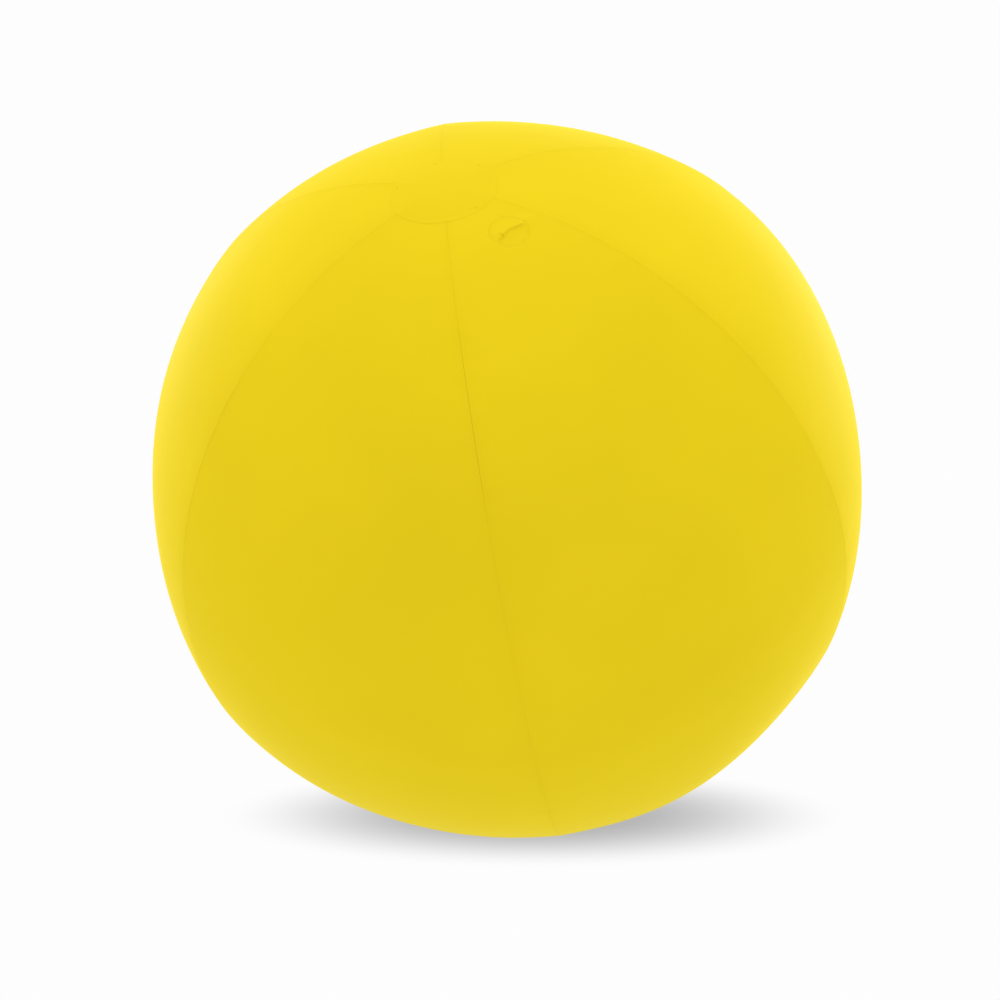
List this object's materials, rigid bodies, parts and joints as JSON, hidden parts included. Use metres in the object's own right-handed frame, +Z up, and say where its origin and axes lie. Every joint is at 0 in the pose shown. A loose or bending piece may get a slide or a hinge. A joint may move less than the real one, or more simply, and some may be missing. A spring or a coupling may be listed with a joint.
{
  "type": "inflatable ball",
  "caption": "Round inflatable play ball of welded plastic film panels with end discs and a push-in valve with a plug on a strap, resting on a small flat.",
  "frame": {"origin": "the middle of the object's base at floor level, under the centre of the ball, on its rest face", "axes": "+Z is up as the ball lies; -Y is the front, towards which the pole axis leans 30 degrees from upright"},
  "size_m": [0.28, 0.2847, 0.2796],
  "materials": {
    "film": "soft plastic film with a low satin sheen",
    "disc": "soft plastic film with a low satin sheen",
    "valve": "moulded soft plastic, satin"
  },
  "bodies": {
    "ball": {"panel_1": "film", "panel_2": "film", "panel_3": "film", "panel_4": "film", "panel_5": "film", "panel_6": "film", "top_disc": "disc", "bottom_disc": "disc", "valve_flange": "valve", "valve_skirt": "valve"},
    "stem": {"valve_stem": "valve"},
    "plug": {"valve_plug": "valve", "plug_strap": "valve"},
    "flap": {"check_flap": "valve"}
  },
  "joints": [
    {"name": "stem_pull", "type": "slide", "parent": "ball", "child": "stem", "axis": [0.0058, -0.6355, 0.7721], "range_m": [0, 0.012]},
    {"name": "plug_swing", "type": "hinge", "parent": "stem", "child": "plug", "pos_m": [-0.00371, -0.09199, 0.2448], "axis": [0.6724, -0.569, -0.4734], "range_deg": [0, 130]},
    {"name": "flap_swing", "type": "hinge", "parent": "stem", "child": "flap", "pos_m": [0.00383, -0.07769, 0.23832], "axis": [0.6724, -0.569, -0.4734], "range_deg": [0, 60], "stiffness_Nm_per_rad": 0.0001}
  ]
}
